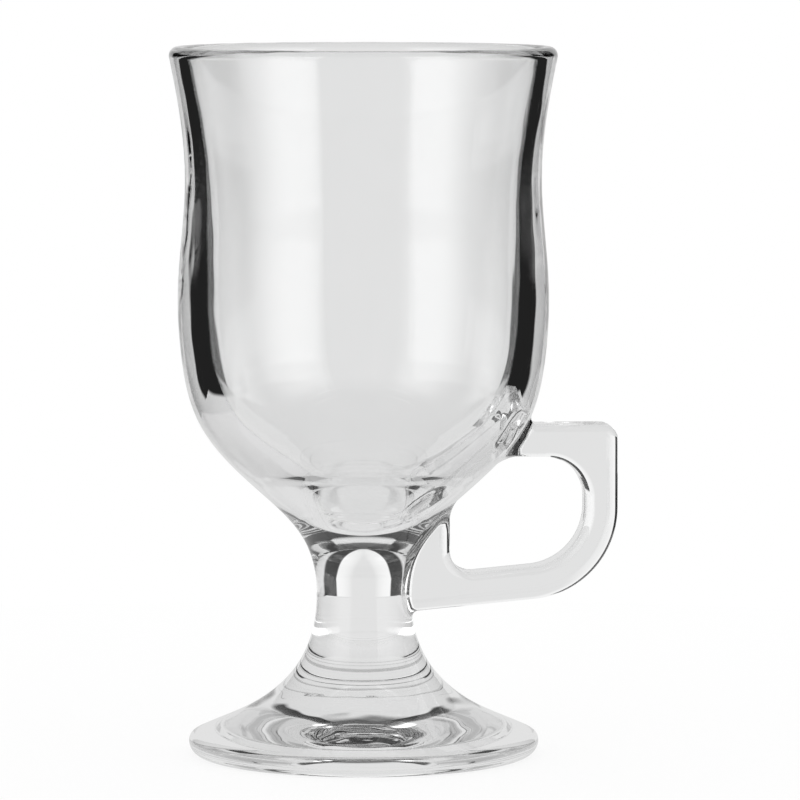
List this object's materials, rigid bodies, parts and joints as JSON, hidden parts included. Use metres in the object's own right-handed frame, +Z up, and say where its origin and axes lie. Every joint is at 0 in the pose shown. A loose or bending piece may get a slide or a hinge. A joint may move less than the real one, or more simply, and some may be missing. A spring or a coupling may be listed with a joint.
{
  "type": "irish coffee mug",
  "caption": "Clear glass footed mug for hot drinks: a flared, waisted bowl on a short solid stem and broad round foot, with a bent glass bar as its side handle.",
  "frame": {"origin": "on the mug's axis, in the plane of the flat ring that it stands on", "axes": "+Z up along the mug's axis, +X from the axis towards the handle, the handle lies in the XZ plane"},
  "size_m": [0.0902, 0.078, 0.143],
  "materials": {
    "clear_glass": "fire-polished, clear"
  },
  "bodies": {
    "root": {"bowl": "clear_glass", "stem": "clear_glass", "foot": "clear_glass", "handle": "clear_glass"}
  },
  "joints": []
}
